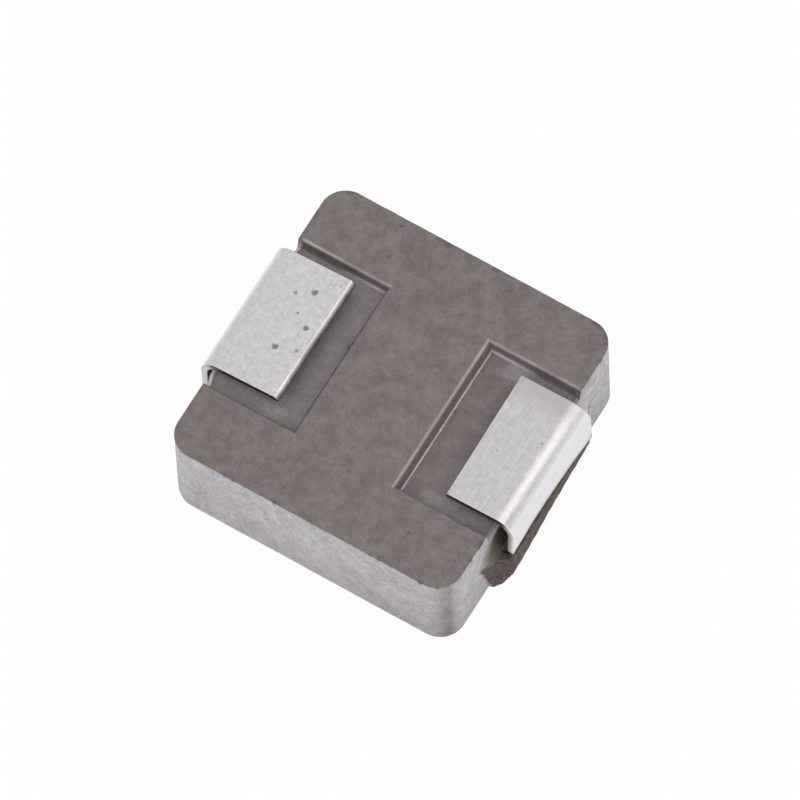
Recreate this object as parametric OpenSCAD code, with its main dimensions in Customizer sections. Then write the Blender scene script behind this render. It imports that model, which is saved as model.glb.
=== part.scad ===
// Moulded power inductor. A wound coil is welded to a lead frame, iron powder is pressed
// round both, and the two terminals are folded up the walls and over the solder face.
// It lies on its flat pick-up face. The origin is the centre of that face, +X runs from
// the left terminal to the right one, +Y along the terminals and +Z to the solder face.

/* [Pressed body] */
// Length of the body between its two terminal walls
body_l = 6.55; // [6.4:0.05:8]
// Width of the body along the terminals
body_w = 6.6; // [5.8:0.05:8]
// Height of the body from its pick-up face to its solder face
body_h = 2.5; // [2.3:0.05:3]
// Radius of the four upright corners
corner_r = 0.55; // [0.2:0.05:0.7]
// Height of the plane where the die halves meet and the lead frame lies
parting_z = 1.25; // [1.1:0.05:1.35]
// Offset of the punch and the lead frame from the body's centre, along its length
punch_x = 0.03; // [-0.05:0.01:0.05]
// Offset of the punch and the lead frame from the body's centre, along its width
punch_y = 0.03; // [-0.05:0.01:0.05]
// Gap left between the pressed powder and the metal inside it
press_gap = 0.01; // [0.01:0.005:0.02]

/* [Terminal pockets] */
// Width of the land between the two pockets, at the solder face
land_w = 2.34; // [1.8:0.02:3]
// Width of each pocket along the terminal, at the solder face
pocket_w = 3.64; // [3.4:0.02:4]
// Depth of a pocket's floor below the solder face
pocket_depth = 0.25; // [0.15:0.05:0.35]
// Slope of a pocket's walls away from upright
pocket_draft = 16; // [5:1:30]
// Radius that turns the pocket's floor down into the wall
lip_r = 0.12; // [0.05:0.01:0.2]

/* [Lead ledges] */
// Distance of each ledge's outer face from the lead frame's centre
ledge_reach = 3.6; // [3.5:0.01:3.8]
// Width of a ledge's outer face
ledge_w = 3.02; // [2.8:0.02:3.2]
// Run of each concave flank, from the outer face's end to the wall
flank_run = 0.6; // [0.4:0.05:0.8]
// Height at which the outer face starts to slope in towards the pick-up face
chin_z = 0.5; // [0.3:0.05:0.6]
// Climb of the right ledge's slope towards the far end, where it is short of powder
right_chin_tilt = 11; // [0:1:12]
// Distance that a ledge stands out from the wall at the pick-up face
chin_out = 0.055; // [0.03:0.005:0.2]
// Gap between the wall's swell over a ledge and the leg in front of it
swell_gap = 0.055; // [0.05:0.005:0.08]

/* [Terminals] */
// Thickness of the tinned copper strip
strip_t = 0.15; // [0.1:0.01:0.18]
// Width of the strip
strip_w = 2.98; // [2.6:0.02:3.1]
// Length of strip that comes out of the body's wall, measured flat
strip_out = 2.9; // [2.7:0.01:3.1]
// Radius inside the bend at the ledge
foot_r = 0.08; // [0.05:0.01:0.12]
// Radius inside the bend at the pocket
shoulder_r = 0.3; // [0.2:0.01:0.35]
// Height of the terminals' shoulders above the solder face
shoulder_h = 0.18; // [0.1:0.01:0.3]
// Level run of the left lead from the wall to its bend at the ledge
left_foot = 0.035; // [0.035:0.005:0.2]
// Level run of the right lead from the wall to its bend at the ledge
right_foot = 0.195; // [0.035:0.005:0.2]
// Fold of the left tab over the pocket, where 90 is level and less is sprung open
left_fold = 85.4; // [84:0.1:92]
// Fold of the right tab over the pocket
right_fold = 92; // [84:0.1:92]

/* [Coil] */
// Diameter of the enamelled wire
wire_d = 0.44; // [0.3:0.01:0.46]
// Gap between neighbouring turns, left by the enamel
turn_gap = 0.02; // [0.01:0.005:0.03]
// Radius of the powder leg inside the winding
coil_in_r = 0.68; // [0.4:0.02:0.7]
// Whole turns in each of the two layers
layer_turns = 2; // [1:1:2]
// Distance from the winding to the inner end of each terminal
tongue_gap = 0.115; // [0.05:0.005:0.15]
// Distance from the inner end of each terminal to the line of its weld
weld_inset = 0.3; // [0.2:0.01:0.32]
// Radius at which each tail turns to run along its weld
tail_r = 1.2; // [0.8:0.05:1.4]
// Distance that each tail runs past the middle of its terminal
tail_past = 0.8; // [0.4:0.05:1.2]

/* [Hidden] */
$fn = 64;

LEFT = -1;
RIGHT = 1;
OVER = 1; // how far each cutter runs past the surface that it opens
CHIN_DROP = 3; // how far the chin's cutter runs down, in heights of the chin

// Levels
floor_z = body_h - pocket_depth;
ledge_z = parting_z - press_gap;
cove_z = floor_z - lip_r;
shoulder_z = body_h + shoulder_h;
swell = min(left_foot, right_foot) + foot_r - swell_gap;

// Distance from the lead frame's centre to the body's wall on one side
function wall_x(side) = body_l / 2 - side * punch_x;

// Strip, along its neutral line
neutral = strip_t / 2;
foot_out_r = foot_r + strip_t;
shoulder_out_r = shoulder_r + strip_t;
leg_run = shoulder_z - parting_z - foot_out_r - shoulder_out_r;
function foot_run(side) = side == LEFT ? left_foot : right_foot;
function side_fold(side) = side == LEFT ? left_fold : right_fold;
function arc_run(r, angle) = (r + neutral) * angle * PI / 180;
// What is left of the strip for the tab
function tab_run(side) = strip_out - foot_run(side) - arc_run(foot_r, 90) - leg_run
    - arc_run(shoulder_r, side_fold(side));

// Winding, by its centre line
turn_pitch = wire_d + turn_gap;
first_r = coil_in_r + wire_d / 2;
coil_z = parting_z + strip_t / 2;
upper_turns = layer_turns + 0.75;
lower_turns = layer_turns + 0.25;
upper_r = first_r + turn_pitch * upper_turns;
lower_r = first_r + turn_pitch * lower_turns;
coil_out_r = upper_r + wire_d / 2;
tongue_x = coil_out_r + tongue_gap;
weld_x = tongue_x + weld_inset;
upper_z = coil_z + turn_pitch / 2;
lower_z = coil_z - turn_pitch / 2;
weld_rise = strip_t / 2 + wire_d / 2 + press_gap;
CROSS_TURN = 90; // degrees of turn over which each half leaves the middle plane
TURN_STEP = 12; // degrees between two rings of the wire
BEND_STEP = 9; // degrees between two rings in a tail's bend
WIRE_SIDES = 10;

// ---- Pressed body ----

// Rectangle with true arcs at its corners
module rounded_rect(l, w, r) {
    square([l - 2 * r, w], center = true);
    square([l, w - 2 * r], center = true);
    for (x = [-1, 1], y = [-1, 1])
        translate([x * (l / 2 - r), y * (w / 2 - r)]) circle(r);
}

// Profile across the length (X and Z), drawn out along Y
module along_y(w) {
    rotate([90, 0, 0]) linear_extrude(w, center = true) children();
}

// Puts its children on one side of the lead frame, for shapes drawn on the right
module on_side(side) {
    translate([punch_x, punch_y, 0]) mirror([side == LEFT ? 1 : 0, 0, 0]) children();
}

// Section of one pocket: a drafted inner wall, a flat floor and the lip that turns down
module pocket_section(wall) {
    inset = tan(pocket_draft);
    polygon([
        [land_w / 2 - OVER * inset, body_h + OVER],
        [land_w / 2 + pocket_depth * inset, floor_z],
        [wall + OVER, floor_z],
        [wall + OVER, body_h + OVER]
    ]);
    difference() {
        translate([wall - lip_r, cove_z]) square([lip_r + OVER, lip_r]);
        translate([wall - lip_r, cove_z]) circle(lip_r);
        translate([wall, cove_z]) square([OVER, lip_r - press_gap]);
    }
}

// Room for one tab: the section, narrowed by drafted walls at both ends
module pocket(side) {
    wall = wall_x(side);
    inset = tan(pocket_draft);
    low = pocket_w / 2 - (floor_z - cove_z + pocket_depth) * inset;
    high = pocket_w / 2 + OVER * inset;
    intersection() {
        along_y(pocket_w + 2 * OVER) pocket_section(wall);
        rotate([90, 0, 90]) linear_extrude(wall + 2 * OVER)
            polygon([[-low, cove_z], [low, cove_z], [high, body_h + OVER], [-high, body_h + OVER]]);
    }
}

// Side view of one ledge, with the wall that swells out above it
module ledge_section(wall) {
    swell_h = cove_z - parting_z;
    swell_r = (swell * swell + swell_h * swell_h) / (2 * swell);
    translate([wall - lip_r, 0]) square([ledge_reach - wall + lip_r, ledge_z]);
    difference() {
        translate([wall - lip_r, ledge_z]) square([lip_r + swell, cove_z - ledge_z]);
        translate([wall + swell_r, cove_z]) circle(swell_r, $fn = 256);
    }
}

// Plan of one ledge: its outer face, and concave flanks that run out into the wall
module ledge_plan(wall) {
    out = ledge_reach - wall;
    flank_r = (out * out + flank_run * flank_run) / (2 * out);
    root_y = ledge_w / 2 + flank_run;
    difference() {
        translate([wall - lip_r, -root_y]) square([out + lip_r, 2 * root_y]);
        for (y = [-1, 1])
            translate([wall + flank_r, y * root_y]) circle(flank_r);
    }
}

// End view of one ledge: widest at the lead, narrower towards both faces
module ledge_front() {
    root_y = ledge_w / 2 + flank_run;
    top_y = pocket_w / 2 - pocket_depth * tan(pocket_draft);
    polygon([
        [-pocket_w / 2, 0], [pocket_w / 2, 0], [root_y, parting_z],
        [root_y, parting_z + 2 * strip_t], [top_y, cove_z],
        [-top_y, cove_z], [-root_y, parting_z + 2 * strip_t], [-root_y, parting_z]
    ]);
}

// What the sloped chin takes off a ledge, turned about its near end
module chin_cut(wall, tilt) {
    slope = [ledge_reach - wall - chin_out, chin_z];
    translate([ledge_reach, -ledge_w / 2, chin_z]) rotate([tilt, 0, 0])
        along_y(2 * (ledge_w + 2 * flank_run))
            polygon([OVER * slope, -CHIN_DROP * slope, [OVER, -CHIN_DROP * slope[1]]]);
}

// The powder that fills the relief round one lead, below and behind it
module ledge(side) {
    wall = wall_x(side);
    difference() {
        intersection() {
            along_y(ledge_w + 4 * flank_run) ledge_section(wall);
            linear_extrude(cove_z) ledge_plan(wall);
            rotate([90, 0, 90]) linear_extrude(ledge_reach + OVER) ledge_front();
        }
        chin_cut(wall, side == LEFT ? 0 : right_chin_tilt);
    }
}

// Slot that one lead lies in, from its inner end out over the ledge
module lead_slot() {
    translate([tongue_x - press_gap, -strip_w / 2 - press_gap, parting_z - press_gap])
        cube([ledge_reach + OVER - tongue_x, strip_w + 2 * press_gap, strip_t + 2 * press_gap]);
}

// Ring-shaped room that the two layers of turns fill
module winding_room() {
    room_h = turn_pitch + wire_d + 2 * press_gap;
    rotate_extrude()
        translate([coil_in_r - press_gap, coil_z - room_h / 2])
            square([coil_out_r - coil_in_r + 2 * press_gap, room_h]);
}

// Channel of one tail on the right side: straight off the winding, round, and along the weld
module tail_channel(exit_r, low_z, high_z) {
    channel_w = wire_d + 2 * press_gap;
    turn_x = weld_x - tail_r;
    turn_y = tail_r - exit_r;
    bottom = low_z - channel_w / 2;
    translate([0, 0, bottom]) linear_extrude(high_z - low_z + channel_w) {
        translate([0, -exit_r - channel_w / 2]) square([turn_x, channel_w]);
        translate([turn_x, turn_y]) intersection() {
            difference() {
                circle(tail_r + channel_w / 2);
                circle(tail_r - channel_w / 2);
            }
            translate([0, -2 * tail_r]) square(2 * tail_r);
        }
        translate([weld_x - channel_w / 2, turn_y])
            square([channel_w, tail_past - turn_y + press_gap]);
    }
}

// Pressed iron-powder composite round the coil and the two leads
module body() {
    color([0.47, 0.44, 0.45]) difference() {
        union() {
            linear_extrude(body_h) rounded_rect(body_l, body_w, corner_r);
            for (side = [LEFT, RIGHT]) on_side(side) ledge(side);
        }
        for (side = [LEFT, RIGHT]) on_side(side) {
            pocket(side);
            lead_slot();
        }
        on_side(RIGHT) {
            winding_room();
            tail_channel(upper_r, upper_z, coil_z + weld_rise);
        }
        on_side(LEFT) tail_channel(lower_r, coil_z - weld_rise, lower_z);
    }
}

// ---- Terminals ----

// Flat stretch of strip along +X, with its outer face on the X axis
module run(length) {
    square([length, strip_t]);
}

// Bend to the left round an inner radius. Its children carry on from its end.
module bend(angle, r) {
    out_r = r + strip_t;
    translate([0, out_r]) {
        intersection() {
            difference() {
                circle(out_r);
                circle(r);
            }
            polygon([
                [0, 0],
                for (a = [-90, angle / 2 - 90, angle - 90]) 2 * out_r * [cos(a), sin(a)]
            ]);
        }
        rotate(angle) translate([0, -out_r]) children();
    }
}

// Strip folded in one piece: tongue, foot, leg, shoulder and tab
module terminal(side) {
    tongue_run = wall_x(side) - tongue_x + foot_run(side);
    on_side(side) along_y(strip_w) translate([tongue_x, parting_z]) {
        run(tongue_run);
        translate([tongue_run, 0]) bend(90, foot_r) {
            run(leg_run);
            translate([leg_run, 0]) bend(side_fold(side), shoulder_r) run(tab_run(side));
        }
    }
}

module terminal_left() {
    color([0.81, 0.81, 0.82]) terminal(LEFT);
}

module terminal_right() {
    color([0.81, 0.81, 0.82]) terminal(RIGHT);
}

// ---- Coil ----

function smooth(u) = u * u * (3 - 2 * u);

// Centre line of the winding. It starts in the middle of the wire, at the inner radius,
// and each half spirals outwards in its own layer, so both ends come out at the rim.
function spiral_point(angle) =
    let (
        r = first_r + turn_pitch * abs(angle) / 360,
        lift = sign(angle) * smooth(min(1, abs(angle) / CROSS_TURN))
    )
    [r * cos(angle), r * sin(angle), coil_z + lift * turn_pitch / 2];

// Centre line of a tail on the right side, from the winding to its end on the terminal
function tail_points(exit_r, from_z, to_z) =
    let (
        turn_x = weld_x - tail_r,
        turn_y = tail_r - exit_r
    )
    [
        for (u = [0.25, 0.5, 0.75]) [turn_x * u, -exit_r, from_z + (to_z - from_z) * smooth(u)],
        for (a = [-90:BEND_STEP:0]) [turn_x + tail_r * cos(a), turn_y + tail_r * sin(a), to_z],
        [weld_x, tail_past, to_z]
    ];

function mirrored(points) = [for (p = points) [-p[0], p[1], p[2]]];
function reversed(points) = [for (i = [len(points) - 1:-1:0]) points[i]];

wire_path = concat(
    reversed(mirrored(tail_points(lower_r, lower_z, coil_z - weld_rise))),
    [for (a = [-360 * lower_turns:TURN_STEP:-TURN_STEP / 2]) spiral_point(a)],
    [for (a = [0:TURN_STEP:360 * upper_turns]) spiral_point(a)],
    [spiral_point(360 * upper_turns)],
    tail_points(upper_r, upper_z, coil_z + weld_rise)
);

function unit(v) = v / norm(v);

// Round wire swept along a path. Each ring stands upright, square to the path.
module wire(path, d, sides) {
    last = len(path) - 1;
    rings = [
        for (i = [0:last])
            let (
                ahead = unit(path[min(i + 1, last)] - path[max(i - 1, 0)]),
                across = unit(cross(ahead, [0, 0, 1])),
                up = cross(across, ahead)
            )
            for (k = [0:sides - 1])
                path[i] + d / 2 * (across * cos(360 * k / sides) + up * sin(360 * k / sides))
    ];
    sleeve = [
        for (i = [0:last - 1], k = [0:sides - 1])
            let (here = i * sides, next = (k + 1) % sides)
            [here + k, here + next, here + sides + next, here + sides + k]
    ];
    start_cap = [for (k = [sides - 1:-1:0]) k];
    end_cap = [for (k = [0:sides - 1]) last * sides + k];
    polyhedron(rings, concat(sleeve, [start_cap, end_cap]));
}

module coil() {
    color([0.72, 0.38, 0.2]) translate([punch_x, punch_y, 0]) wire(wire_path, wire_d, WIRE_SIDES);
}

body();
coil();
terminal_left();
terminal_right();
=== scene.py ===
"""Moulded power inductor that lies on its pick-up face with its two terminals up.

The pressed powder body, the two folded terminals and the coil inside are surfaces worked
out as whole arrays, each in the place of its solid. Lengths in the classes are in
millimetres, and a mesh is written in metres.
"""

import logging
import math
from dataclasses import dataclass, field
from enum import Enum

import bpy
import numpy as np
from mathutils import Matrix, Vector


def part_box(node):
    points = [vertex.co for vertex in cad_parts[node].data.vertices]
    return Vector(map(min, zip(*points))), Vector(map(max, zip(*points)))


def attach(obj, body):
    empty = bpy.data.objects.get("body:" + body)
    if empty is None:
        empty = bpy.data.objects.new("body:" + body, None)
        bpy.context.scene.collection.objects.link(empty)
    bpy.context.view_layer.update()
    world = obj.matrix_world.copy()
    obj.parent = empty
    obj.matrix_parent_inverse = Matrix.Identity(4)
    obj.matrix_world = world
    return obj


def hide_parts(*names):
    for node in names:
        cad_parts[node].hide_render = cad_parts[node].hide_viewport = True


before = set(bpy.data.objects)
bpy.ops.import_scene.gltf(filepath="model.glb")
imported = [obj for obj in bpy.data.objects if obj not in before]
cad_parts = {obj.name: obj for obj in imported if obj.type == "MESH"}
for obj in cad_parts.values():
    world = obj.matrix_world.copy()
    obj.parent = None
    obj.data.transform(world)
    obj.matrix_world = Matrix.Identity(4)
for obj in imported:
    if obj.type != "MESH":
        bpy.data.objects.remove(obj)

LOG = logging.getLogger("moulded_inductor")
MM = 0.001
NOISE_PERIOD = 48


class Side(Enum):
    """Which end of the body a pocket, a ledge or a terminal stands at."""

    LEFT = -1
    RIGHT = 1


# ---- Numbers ----


def smooth_step(u: np.ndarray) -> np.ndarray:
    """Smooth rise from 0 to 1: three u squared less two u cubed, held at both ends."""
    held = np.clip(u, 0.0, 1.0)
    return held * held * (3.0 - 2.0 * held)


def bell(distance: np.ndarray, reach: float) -> np.ndarray:
    """Bell of height 1: e to the minus square of distance over reach."""
    return np.exp(-np.square(distance / reach))


def soft_ramp(value: np.ndarray, rounding: float) -> np.ndarray:
    """Ramp that is 0 below zero and the value above it, rounded at the corner.

    Formula: half of the value plus the root of its square and the rounding's square.
    """
    return 0.5 * (value + np.sqrt(value * value + rounding * rounding))


def lattice_noise(points: np.ndarray, cell: float, seed: int) -> np.ndarray:
    """Smooth random field over space.

    Formula: a random number stands at each corner of a cubic lattice, and a point takes
    the mix of the eight corners round it, by the smooth step of its place in the cube.

    Args:
        points: Places, with X, Y and Z along the last axis.
        cell: Spacing of the lattice.
        seed: Chooses the random numbers.

    Returns:
        One value for each place, between -1 and 1.
    """
    table = np.random.default_rng(seed).uniform(-1.0, 1.0, (NOISE_PERIOD,) * 3)
    scaled = points / cell
    base = np.floor(scaled).astype(int)
    part = smooth_step(scaled - base)
    total = np.zeros(points.shape[:-1])
    for corner in np.ndindex(2, 2, 2):
        weight = np.prod(np.where(corner, part, 1.0 - part), axis=-1)
        at = np.moveaxis((base + corner) % NOISE_PERIOD, -1, 0)
        total += weight * table[at[0], at[1], at[2]]
    return total


def gathered_lines(
    low: float, high: float, count: int, creases: list[tuple[float, float, float]]
) -> np.ndarray:
    """Grid lines that stand closer together near each crease.

    Formula: the density is 1 plus a bell for each crease, and the lines stand at equal
    steps of its running sum.

    Args:
        low: First line.
        high: Last line.
        count: Number of lines.
        creases: Place, reach and extra density of each crease.

    Returns:
        The lines in rising order.
    """
    fine = np.linspace(low, high, 20001)
    density = np.ones_like(fine)
    for place, reach, extra in creases:
        density += extra * bell(fine - place, reach)
    total = np.concatenate([[0.0], np.cumsum(0.5 * (density[1:] + density[:-1]))])
    return np.interp(np.linspace(0.0, total[-1], count), total, fine)


# ---- Meshes ----


def ring_quads(rings: np.ndarray, closed: bool = True) -> np.ndarray:
    """Four-sided faces between neighbouring rings.

    Args:
        rings: Vertex numbers, one ring a row.
        closed: Whether each ring's last vertex joins its first.

    Returns:
        Faces, four vertex numbers each.
    """
    near, far = rings[:, :-1], rings[:, 1:]
    if closed:
        near, far = rings, np.roll(rings, -1, axis=1)
    return np.stack([near[:-1], near[1:], far[1:], far[:-1]], axis=-1).reshape(-1, 4)


def make_piece(
    name: str,
    points: np.ndarray,
    faces: list[np.ndarray],
    finish: bpy.types.Material,
    marks: dict[str, np.ndarray] | None = None,
) -> bpy.types.Object:
    """Puts a surface into a mesh of its own.

    Args:
        name: Name of the piece.
        points: Vertices in millimetres.
        faces: Arrays of vertex numbers, one face a row.
        finish: Material of the whole piece.
        marks: Named numbers, one for each vertex, that the finish reads.

    Returns:
        The new object, at the origin.
    """
    mesh = bpy.data.meshes.new(name)
    rows = [row for block in faces for row in block.tolist()]
    mesh.from_pydata((points * MM).tolist(), [], rows)
    for mark, values in (marks or {}).items():
        layer = mesh.attributes.new(mark, "FLOAT", "POINT")
        layer.data.foreach_set("value", values.astype(np.float32))
    mesh.polygons.foreach_set("use_smooth", np.ones(len(mesh.polygons), bool))
    mesh.materials.append(finish)
    mesh.validate()
    mesh.update()
    piece = bpy.data.objects.new(name, mesh)
    bpy.context.scene.collection.objects.link(piece)
    return piece


def node_box(node: str) -> tuple[np.ndarray, np.ndarray]:
    """Lowest and highest corner of a solid, in millimetres."""
    low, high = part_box(node)
    return np.array(low) / MM, np.array(high) / MM


# ---- Finishes ----


def linear(colour: str) -> tuple[float, float, float, float]:
    """Turns an sRGB hex colour into the linear one that a socket takes.

    Args:
        colour: Six hex digits after a hash sign.

    Returns:
        Red, green, blue and an alpha of 1.
    """
    parts = [int(colour[i : i + 2], 16) / 255.0 for i in (1, 3, 5)]
    red, green, blue = (
        c / 12.92 if c <= 0.04045 else ((c + 0.055) / 1.055) ** 2.4 for c in parts
    )
    return red, green, blue, 1.0


def per_mm(size: float) -> float:
    """Scale of a pattern whose features are that many millimetres across."""
    return 1.0 / (size * MM)


def add_node(
    tree: bpy.types.NodeTree, kind: str, settings: dict[str, object], links: dict[object, object]
) -> bpy.types.Node:
    """Adds a node with its settings and links.

    Args:
        tree: Tree that gets the node.
        kind: Type of the node.
        settings: Attributes of the node. A list of (place, colour) under "ramp" fills a ramp.
        links: For each input, by name or number, a socket to link or a value to set.

    Returns:
        The new node.
    """
    node = tree.nodes.new(kind)
    for name, value in settings.items():
        if name == "ramp":
            stops = node.color_ramp.elements
            while len(stops) < len(value):
                stops.new(0.5)
            for stop, (place, colour) in zip(stops, value):
                stop.position, stop.color = place, linear(colour)
        else:
            setattr(node, name, value)
    for name, value in links.items():
        socket = node.inputs[name]
        if isinstance(value, bpy.types.NodeSocket):
            tree.links.new(value, socket)
        else:
            socket.default_value = value
    return node


def new_material(name: str) -> tuple[bpy.types.Material, bpy.types.NodeTree]:
    """Empty material and its node tree."""
    material = bpy.data.materials.new(name)
    material.use_nodes = True
    material.node_tree.nodes.clear()
    return material, material.node_tree


@dataclass(frozen=True)
class PressedPowder:
    """Iron-powder composite, pressed in a die and cured.

    Insulated iron grains in resin give a dull warm grey with a fine grain and soft blotches.
    The die wall rubs the sides bright, and they are painted lighter still, a painted
    reflection of the white floor. Where a lead is pressed round, the powder is torn and shows
    raw, dark and coarse, and above the lead smeared powder is darkened with painted shade.
    Painted shade lies in the pocket walls and along their hidden edges, a painted highlight
    along the pockets' lips, and painted light on the pocket floors beside the tabs. Grain,
    blotch, streak and crumb are the widths of those patterns, and the grain is drawn coarser
    than the real one, so that it shows.
    """

    dull: tuple[str, str, str] = ("#665C5C", "#746A6A", "#817777")
    # Die-rubbed grey of the side walls, lighter as a painted reflection of the white floor; the
    # same colour is painted light on the pocket floors.
    rubbed: tuple[str, str, str] = ("#9E9A9F", "#B4B0B4", "#C9C5C8")
    torn: tuple[str, str, str] = ("#40352F", "#574B47", "#6F635E")
    # Smeared powder behind the lead, darkened as painted shade.
    smear: str = "#4F443B"
    # Flash along the pocket edges, and a painted highlight on the pocket lips.
    burr: str = "#E2D9D2"
    # Dark specks and chips, and painted shade in the pocket walls and along their hidden edges.
    cranny: str = "#3B3335"
    grain: float = 0.035
    grain_share: float = 0.3
    blotch: float = 0.3
    streak: float = 0.2
    streak_rise: float = 0.7
    crumb: float = 0.11

    def build(self) -> bpy.types.Material:
        """Builds the finish. It reads five marks: die-rubbed walls with painted reflection and
        painted light, smear with painted shade, torn powder, specks with painted shade, and burrs
        with painted highlights.
        """
        material, tree = new_material("pressed_iron_powder")
        place = add_node(tree, "ShaderNodeTexCoord", {}, {}).outputs["Object"]
        drawn = add_node(
            tree,
            "ShaderNodeMapping",
            {},
            {"Vector": place, "Scale": (1.0, 1.0, self.streak_rise)},
        ).outputs["Vector"]
        blotch, grain, streak, coarse = (
            add_node(
                tree,
                "ShaderNodeTexNoise",
                {},
                {"Vector": where, "Scale": per_mm(size), "Detail": detail, "Roughness": rough},
            ).outputs["Fac"]
            for where, size, detail, rough in (
                (place, self.blotch, 4.0, 0.8),
                (place, self.grain, 2.0, 0.7),
                (drawn, self.streak, 4.0, 0.85),
                (place, self.crumb, 3.0, 0.75),
            )
        )
        both, worn_and_sheen = (
            add_node(
                tree,
                "ShaderNodeMix",
                {"data_type": "FLOAT"},
                {"Factor": self.grain_share, "A": large, "B": grain},
            ).outputs["Result"]
            for large in (blotch, streak)
        )
        dull, rubbed, torn = (
            add_node(
                tree,
                "ShaderNodeValToRGB",
                {"ramp": list(zip((low, 0.5 * (low + high), high), colours))},
                {"Fac": source},
            ).outputs["Color"]
            for source, colours, low, high in (
                (both, self.dull, 0.36, 0.64),
                (worn_and_sheen, self.rubbed, 0.39, 0.61),
                (coarse, self.torn, 0.33, 0.68),
            )
        )
        marks = {
            mark: add_node(
                tree, "ShaderNodeAttribute", {"attribute_name": mark}, {}
            ).outputs["Fac"]
            for mark in ("rubbed", "smear", "torn", "cranny", "burr")
        }
        colour = dull
        for mark, over in (
            ("rubbed", rubbed),
            ("smear", linear(self.smear)),
            ("torn", torn),
            ("cranny", linear(self.cranny)),
            ("burr", linear(self.burr)),
        ):
            colour = add_node(
                tree,
                "ShaderNodeMix",
                {"data_type": "RGBA"},
                {"Factor": marks[mark], "A": colour, "B": over},
            ).outputs[2]
        shine = add_node(
            tree,
            "ShaderNodeMapRange",
            {},
            {"Value": marks["rubbed"], "To Min": 0.66, "To Max": 0.5},
        ).outputs["Result"]
        matt = add_node(
            tree,
            "ShaderNodeMix",
            {"data_type": "FLOAT"},
            {"Factor": marks["torn"], "A": shine, "B": 0.85},
        ).outputs["Result"]
        rough_height = add_node(
            tree,
            "ShaderNodeMath",
            {"operation": "MULTIPLY_ADD"},
            {0: coarse, 1: marks["torn"], 2: grain},
        ).outputs["Value"]
        bump = add_node(
            tree,
            "ShaderNodeBump",
            {},
            {"Height": rough_height, "Strength": 0.3, "Distance": 0.007 * MM},
        ).outputs["Normal"]
        shader = add_node(
            tree,
            "ShaderNodeBsdfPrincipled",
            {},
            {"Base Color": colour, "Roughness": matt, "Metallic": 0.0, "Normal": bump, "IOR": 1.45},
        )
        add_node(tree, "ShaderNodeOutputMaterial", {}, {"Surface": shader.outputs["BSDF"]})
        return material


@dataclass(frozen=True)
class TinnedCopper:
    """Copper strip, plated with matt tin, sheared and folded.

    The plating is a soft bright grey with fine rolling lines. The leg is painted brighter,
    a painted reflection of the bright floor, and folding dulls the crease. The sheared edges
    and the tip's underside are painted dark with painted shade, the leg's lit edge and the
    tip's top edge carry a burr with a painted highlight, the leg's foot a brown smudge that is
    partly grime and partly painted shade, and small pits through the tin show dark.
    """

    name: str
    tin: tuple[str, str] = ("#BEBCBE", "#D0CED0")
    # Brighter tin on the leg, a painted reflection of the bright floor.
    worked: str = "#E6E5E8"
    dull: str = "#ABA6A4"
    # Brown of the smudge at the leg's foot, partly grime and partly painted shade.
    grime: str = "#5C4C42"
    # Painted shade on the sheared edges and the tip's underside.
    bare: str = "#4B4647"
    # A burr, with a painted highlight on the lit edges.
    burr: str = "#F6F0E6"
    pit: str = "#787270"
    roughness: float = 0.36
    scratch: float = 0.3
    cloud: float = 0.14

    def build(self) -> bpy.types.Material:
        """Builds the finish. It reads six marks: the leg's painted reflection, the dull crease, the
        smudge with painted shade, the painted shade of the edges, the burr with painted highlight,
        and the pits.
        """
        material, tree = new_material(self.name)
        place = add_node(tree, "ShaderNodeTexCoord", {}, {}).outputs["Object"]
        along = add_node(
            tree, "ShaderNodeMapping", {}, {"Vector": place, "Scale": (1.0, 0.07, 1.0)}
        ).outputs["Vector"]
        lines = add_node(
            tree,
            "ShaderNodeTexNoise",
            {},
            {"Vector": along, "Scale": per_mm(0.035), "Detail": 3.0, "Roughness": 0.7},
        ).outputs["Fac"]
        cloud = add_node(
            tree,
            "ShaderNodeTexNoise",
            {},
            {"Vector": place, "Scale": per_mm(self.cloud), "Detail": 5.0, "Roughness": 0.62},
        ).outputs["Fac"]
        mixed = add_node(
            tree,
            "ShaderNodeMix",
            {"data_type": "FLOAT"},
            {"Factor": self.scratch, "A": cloud, "B": lines},
        ).outputs["Result"]
        colour = add_node(
            tree,
            "ShaderNodeValToRGB",
            {"ramp": [(0.36, self.tin[0]), (0.64, self.tin[1])]},
            {"Fac": mixed},
        ).outputs["Color"]
        marks = {
            mark: add_node(
                tree, "ShaderNodeAttribute", {"attribute_name": mark}, {}
            ).outputs["Fac"]
            for mark in ("worked", "dull", "grime", "bare", "burr", "pit")
        }
        for mark, socket in marks.items():
            colour = add_node(
                tree,
                "ShaderNodeMix",
                {"data_type": "RGBA"},
                {"Factor": socket, "A": colour, "B": linear(getattr(self, mark))},
            ).outputs[2]
        rough = add_node(
            tree,
            "ShaderNodeMapRange",
            {},
            {
                "Value": mixed,
                "From Min": 0.35,
                "From Max": 0.65,
                "To Min": self.roughness - 0.05,
                "To Max": self.roughness + 0.05,
            },
        ).outputs["Result"]
        dirt_and_shade = add_node(
            tree, "ShaderNodeMath", {"operation": "MAXIMUM"}, {0: marks["pit"], 1: marks["grime"]}
        ).outputs["Value"]
        metal = add_node(
            tree, "ShaderNodeMapRange", {}, {"Value": dirt_and_shade, "To Min": 1.0, "To Max": 0.1}
        ).outputs["Result"]
        bump = add_node(
            tree,
            "ShaderNodeBump",
            {},
            {"Height": mixed, "Strength": 0.35, "Distance": 0.006 * MM},
        ).outputs["Normal"]
        shader = add_node(
            tree,
            "ShaderNodeBsdfPrincipled",
            {},
            {"Base Color": colour, "Roughness": rough, "Metallic": metal, "Normal": bump},
        )
        add_node(tree, "ShaderNodeOutputMaterial", {}, {"Surface": shader.outputs["BSDF"]})
        return material


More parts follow.
